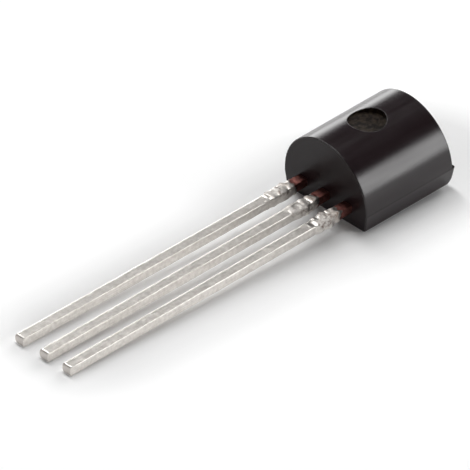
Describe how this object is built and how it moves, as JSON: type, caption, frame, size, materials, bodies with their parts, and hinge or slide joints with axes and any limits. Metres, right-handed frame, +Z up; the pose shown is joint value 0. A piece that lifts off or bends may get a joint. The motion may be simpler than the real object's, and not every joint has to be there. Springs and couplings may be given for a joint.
{
  "type": "voltage regulator",
  "caption": "Small voltage regulator: black moulded body with a half-round back and a flat face, a row of straight tinned leads, and a chip on the lead frame inside.",
  "frame": {"origin": "middle of the part's footprint, on the surface that it lies on", "axes": "+X across the row of leads, +Y along the leads from their tips towards the body, +Z up"},
  "size_m": [0.0046, 0.0198, 0.0034],
  "materials": {
    "black_epoxy": "satin",
    "tinned_lead": "satin",
    "die_adhesive": "matte",
    "silicon": "gloss",
    "bond_wire": "gloss"
  },
  "bodies": {
    "root": {"epoxy_body": "black_epoxy", "output_lead": "tinned_lead", "ground_lead": "tinned_lead", "input_lead": "tinned_lead", "die_attach": "die_adhesive", "regulator_die": "silicon", "output_bond_wire": "bond_wire", "ground_bond_wire": "bond_wire", "input_bond_wire": "bond_wire"}
  },
  "joints": []
}
